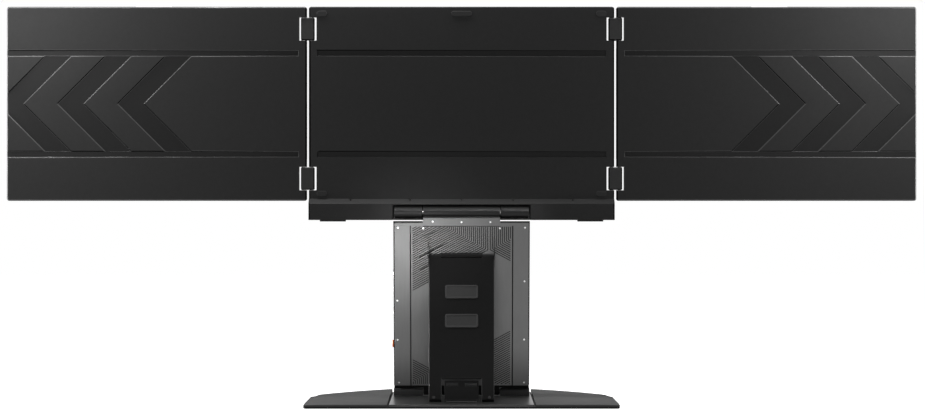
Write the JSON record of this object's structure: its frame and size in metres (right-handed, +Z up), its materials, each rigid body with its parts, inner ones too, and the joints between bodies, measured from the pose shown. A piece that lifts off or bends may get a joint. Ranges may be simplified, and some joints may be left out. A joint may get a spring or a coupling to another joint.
{
  "type": "laptop screen extender",
  "caption": "Free-standing portable monitor whose wing screens fold over a centre screen, which tilts on a metal column with a prop leg and a flat base.",
  "frame": {"origin": "middle of the footprint, on the desk", "axes": "+X to the right seen from behind, along the three screens; -Y to the rear, the side with the prop leg; +Z up. The user sits on the +Y side."},
  "size_m": [1.09, 0.19, 0.4736],
  "materials": {
    "screen_shell": "matt, finely textured dark grey",
    "bezel_black": "satin black",
    "display_glass": "glossy black film",
    "circuit_board": "green solder mask",
    "hinge_black": "black, satin",
    "steel": "ground bright",
    "column_metal": "brushed, satin",
    "column_shell": "bead blasted, grey",
    "leg_black": "matt black powder coat",
    "rubber_grey": "matt",
    "base_grey": "satin, dark grey",
    "screw_black": "black oxide",
    "key_orange": "satin orange",
    "light_white": "clear white"
  },
  "bodies": {
    "base": {"base_plate": "leg_black", "left_base_cover": "base_grey", "right_base_cover": "base_grey", "centre_track": "base_grey", "foot_knuckles": "hinge_black", "foot_shaft": "steel", "leg_bracket": "base_grey", "leg_bracket_screws": "screw_black", "base_pads": "rubber_grey", "base_screws": "screw_black"},
    "column": {"column_housing": "column_shell", "column_back_plate": "column_metal", "column_screws": "screw_black", "tilt_bracket": "hinge_black", "tilt_bracket_screws": "screw_black", "main_board": "circuit_board", "usb_c_sockets": "steel", "hdmi_socket": "steel", "status_light": "light_white", "power_switch": "screw_black", "leg_hinge_lug": "hinge_black", "leg_hinge_pin": "steel"},
    "power_key": {"power_key": "key_orange"},
    "leg": {"leg_plate": "leg_black", "leg_pads": "rubber_grey", "leg_studs": "screw_black"},
    "centre_screen": {"centre_rear_cover": "screen_shell", "centre_bezel": "bezel_black", "centre_display": "display_glass", "centre_driver_board": "circuit_board", "centre_hinge_brackets": "hinge_black", "centre_bumpers": "rubber_grey", "chin_screws": "screw_black", "chin_pads": "rubber_grey", "tilt_knuckles": "hinge_black", "tilt_shaft": "steel"},
    "left_link": {"left_link_blocks": "hinge_black", "left_link_pins": "steel"},
    "right_link": {"right_link_blocks": "hinge_black", "right_link_pins": "steel"},
    "left_wing": {"left_rear_cover": "screen_shell", "left_bezel": "bezel_black", "left_display": "display_glass", "left_driver_board": "circuit_board", "left_hinge_brackets": "hinge_black"},
    "right_wing": {"right_rear_cover": "screen_shell", "right_bezel": "bezel_black", "right_display": "display_glass", "right_driver_board": "circuit_board", "right_hinge_brackets": "hinge_black"}
  },
  "joints": [
    {"name": "column_fold", "type": "hinge", "parent": "base", "child": "column", "pos_m": [0, 0.0225, 0.0101], "axis": [-1, 0, 0], "range_deg": [0, 90]},
    {"name": "screen_tilt", "type": "hinge", "parent": "column", "child": "centre_screen", "pos_m": [0, -0.00781, 0.22772], "axis": [1, 0, 0], "range_deg": [-15, 90]},
    {"name": "leg_fold", "type": "hinge", "parent": "column", "child": "leg", "pos_m": [0, -0.01467, 0.17504], "axis": [1, 0, 0], "range_deg": [0, 22.8]},
    {"name": "power_key_press", "type": "slide", "parent": "column", "child": "power_key", "axis": [1, 0, 0], "range_m": [0, 0.0008], "stiffness_N_per_m": 800, "springref_m": -0.0006},
    {"name": "left_link_turn", "type": "hinge", "parent": "centre_screen", "child": "left_link", "pos_m": [-0.18, -0.00231, 0.34772], "axis": [0, 0, -1], "range_deg": [0, 90]},
    {"name": "left_wing_fold", "type": "hinge", "parent": "left_link", "child": "left_wing", "pos_m": [-0.1894, -0.00231, 0.34772], "axis": [0, 0, -1], "range_deg": [0, 90]},
    {"name": "right_link_turn", "type": "hinge", "parent": "centre_screen", "child": "right_link", "pos_m": [0.18, 0.00199, 0.34772], "axis": [0, 0, 1], "range_deg": [0, 90]},
    {"name": "right_wing_fold", "type": "hinge", "parent": "right_link", "child": "right_wing", "pos_m": [0.1894, 0.00199, 0.34772], "axis": [0, 0, 1], "range_deg": [0, 90]}
  ],
  "couplings": [
    {"joint": "leg_fold", "follows": "column_fold", "ratio": 0.25333}
  ]
}
